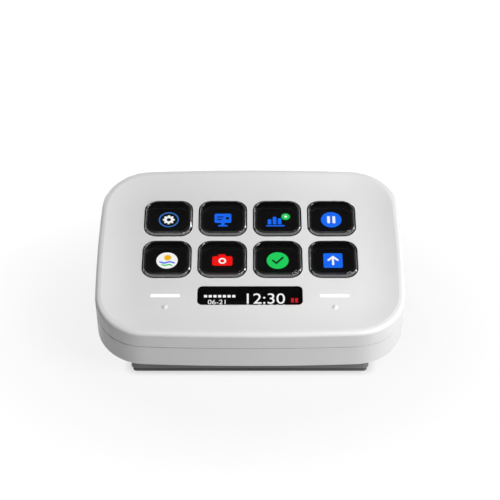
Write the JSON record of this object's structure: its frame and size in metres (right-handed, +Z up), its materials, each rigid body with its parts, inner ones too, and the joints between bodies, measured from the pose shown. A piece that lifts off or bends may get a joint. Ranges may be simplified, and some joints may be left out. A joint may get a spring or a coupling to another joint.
{
  "type": "macro keypad",
  "caption": "Desk macro keypad: clear press keys over a display in a dished white slab, with an information window and touch points, tilted on a wedge stand.",
  "frame": {"origin": "on the desk, under the middle of the whole keypad's bounding box", "axes": "+Z up, +X to the right as seen by the person who presses the keys, +Y away from that person"},
  "size_m": [0.107, 0.0786, 0.0465],
  "materials": {
    "shell_white": "fine satin moulding",
    "key_clear": "polished clear",
    "light_frost": "frosted light guide",
    "window_clear": "polished smoked",
    "skirt_black": "matt silicone",
    "screen_black": "dark display",
    "film_black": "printed film",
    "tray_grey": "moulded",
    "board_green": "solder mask",
    "chip_black": "moulded chip",
    "socket_steel": "plated",
    "screw_steel": "zinc plated",
    "weight_steel": "rolled plate",
    "ribbon_amber": "flexible circuit",
    "foam_grey": "conductive foam",
    "stand_grey": "fine satin moulding",
    "pad_grey": "matt silicone"
  },
  "bodies": {
    "keypad_body": {"face_shell": "shell_white", "base_shell": "shell_white", "stand_shell": "stand_grey", "foot_pad": "pad_grey", "membrane_sheet": "skirt_black", "contact_film": "film_black", "lcd_panel": "screen_black", "lcd_tray": "tray_grey", "main_board": "board_green", "main_chip": "chip_black", "usb_socket": "socket_steel", "info_lens": "window_clear", "info_display": "screen_black", "lcd_ribbon": "ribbon_amber", "info_ribbon": "ribbon_amber", "shell_screws": "screw_steel", "board_screws": "screw_steel", "stand_screws": "screw_steel", "ballast_plate": "weight_steel", "light_bar_left": "light_frost", "touch_board_left": "board_green", "led_left": "light_frost", "touch_pad_left": "foam_grey", "light_bar_right": "light_frost", "touch_board_right": "board_green", "led_right": "light_frost", "touch_pad_right": "foam_grey", "key_skirt_1": "skirt_black", "key_skirt_2": "skirt_black", "key_skirt_3": "skirt_black", "key_skirt_4": "skirt_black", "key_skirt_5": "skirt_black", "key_skirt_6": "skirt_black", "key_skirt_7": "skirt_black", "key_skirt_8": "skirt_black"},
    "key_1": {"key_lens_1": "key_clear"},
    "key_2": {"key_lens_2": "key_clear"},
    "key_3": {"key_lens_3": "key_clear"},
    "key_4": {"key_lens_4": "key_clear"},
    "key_5": {"key_lens_5": "key_clear"},
    "key_6": {"key_lens_6": "key_clear"},
    "key_7": {"key_lens_7": "key_clear"},
    "key_8": {"key_lens_8": "key_clear"}
  },
  "joints": [
    {"name": "key_1_press", "type": "slide", "parent": "keypad_body", "child": "key_1", "axis": [0, 0.342, -0.9397], "range_m": [0, 0.001], "stiffness_N_per_m": 400, "springref_m": -0.0008, "deforming": ["key_skirt_1"]},
    {"name": "key_2_press", "type": "slide", "parent": "keypad_body", "child": "key_2", "axis": [0, 0.342, -0.9397], "range_m": [0, 0.001], "stiffness_N_per_m": 400, "springref_m": -0.0008, "deforming": ["key_skirt_2"]},
    {"name": "key_3_press", "type": "slide", "parent": "keypad_body", "child": "key_3", "axis": [0, 0.342, -0.9397], "range_m": [0, 0.001], "stiffness_N_per_m": 400, "springref_m": -0.0008, "deforming": ["key_skirt_3"]},
    {"name": "key_4_press", "type": "slide", "parent": "keypad_body", "child": "key_4", "axis": [0, 0.342, -0.9397], "range_m": [0, 0.001], "stiffness_N_per_m": 400, "springref_m": -0.0008, "deforming": ["key_skirt_4"]},
    {"name": "key_5_press", "type": "slide", "parent": "keypad_body", "child": "key_5", "axis": [0, 0.342, -0.9397], "range_m": [0, 0.001], "stiffness_N_per_m": 400, "springref_m": -0.0008, "deforming": ["key_skirt_5"]},
    {"name": "key_6_press", "type": "slide", "parent": "keypad_body", "child": "key_6", "axis": [0, 0.342, -0.9397], "range_m": [0, 0.001], "stiffness_N_per_m": 400, "springref_m": -0.0008, "deforming": ["key_skirt_6"]},
    {"name": "key_7_press", "type": "slide", "parent": "keypad_body", "child": "key_7", "axis": [0, 0.342, -0.9397], "range_m": [0, 0.001], "stiffness_N_per_m": 400, "springref_m": -0.0008, "deforming": ["key_skirt_7"]},
    {"name": "key_8_press", "type": "slide", "parent": "keypad_body", "child": "key_8", "axis": [0, 0.342, -0.9397], "range_m": [0, 0.001], "stiffness_N_per_m": 400, "springref_m": -0.0008, "deforming": ["key_skirt_8"]}
  ]
}
